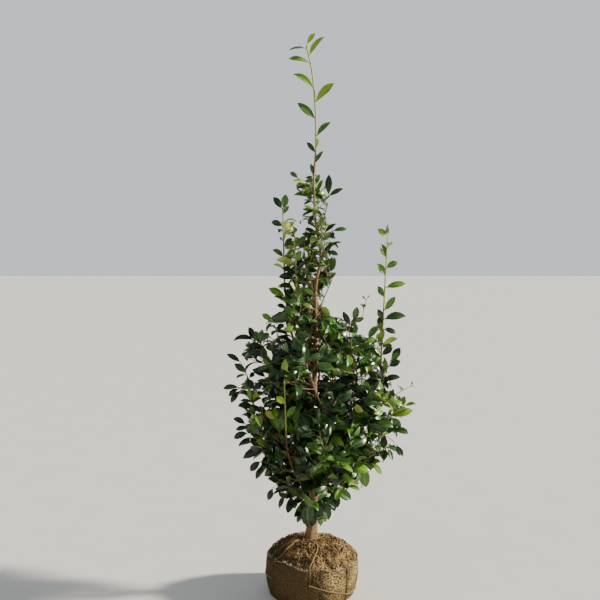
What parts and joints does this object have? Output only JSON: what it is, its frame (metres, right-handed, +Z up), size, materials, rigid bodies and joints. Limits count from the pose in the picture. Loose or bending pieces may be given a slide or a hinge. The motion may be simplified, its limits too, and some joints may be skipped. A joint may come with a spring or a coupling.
{
  "type": "sakaki tree",
  "caption": "Young evergreen sakaki tree with a slender trunk, open leafy crown and a tall bare leader, standing on a round burlap-wrapped root ball laced with twine.",
  "frame": {"origin": "middle of the root ball's flat underside", "axes": "+Z up along the trunk, -Y is the front that faces the viewer in the picture, +X is the viewer's right"},
  "size_m": [0.5458, 0.5689, 1.6648],
  "materials": {
    "bark": "thin grey-brown bark, matt, with fine wrinkles and small pores",
    "leaf": "glossy dark green evergreen leaves, paler and matt on their underside",
    "young_leaf": "soft bright yellow-green young leaves, satin",
    "soil": "dry crumbly brown soil, rough",
    "burlap": "coarse open-weave brown jute cloth, weathered, with a frayed hem",
    "twine": "twisted tan jute twine, matt"
  },
  "bodies": {
    "root": {"soil": "soil", "burlap": "burlap", "trunk": "bark", "shoot_leader": "young_leaf", "twine_front": "twine", "twine_right": "twine", "twine_left": "twine", "twine_back_right": "twine", "twine_back": "twine", "twine_back_left": "twine", "limb_right": "bark", "limb_second": "bark", "limb_left": "bark", "limb_front": "bark", "bough_01": "bark", "bough_02": "bark", "bough_03": "bark", "bough_04": "bark", "bough_05": "bark", "bough_06": "bark", "bough_07": "bark", "bough_08": "bark", "bough_09": "bark", "bough_10": "bark", "bough_11": "bark", "bough_12": "bark", "bough_13": "bark", "bough_low": "bark", "shoot_right": "leaf", "shoot_second": "leaf", "shoot_left": "leaf", "shoot_front": "leaf", "foliage_01": "leaf", "foliage_02": "leaf", "foliage_03": "leaf", "foliage_04": "leaf", "foliage_05": "leaf", "foliage_06": "leaf", "foliage_07": "leaf", "foliage_08": "leaf", "foliage_09": "leaf", "foliage_10": "leaf", "foliage_11": "leaf", "foliage_12": "leaf", "foliage_13": "leaf", "foliage_low": "leaf", "foliage_foot_front": "leaf", "foliage_foot_back": "leaf", "foliage_foot_left": "leaf", "foliage_inner_front": "leaf", "foliage_inner_right": "leaf", "foliage_inner_back": "leaf", "foliage_inner_left": "leaf", "foliage_upper_front": "leaf", "foliage_upper_right": "leaf", "foliage_upper_back": "leaf", "foliage_column_right": "leaf", "foliage_column_left": "leaf", "foliage_column_front": "leaf", "foliage_column_top": "leaf"}
  },
  "joints": []
}
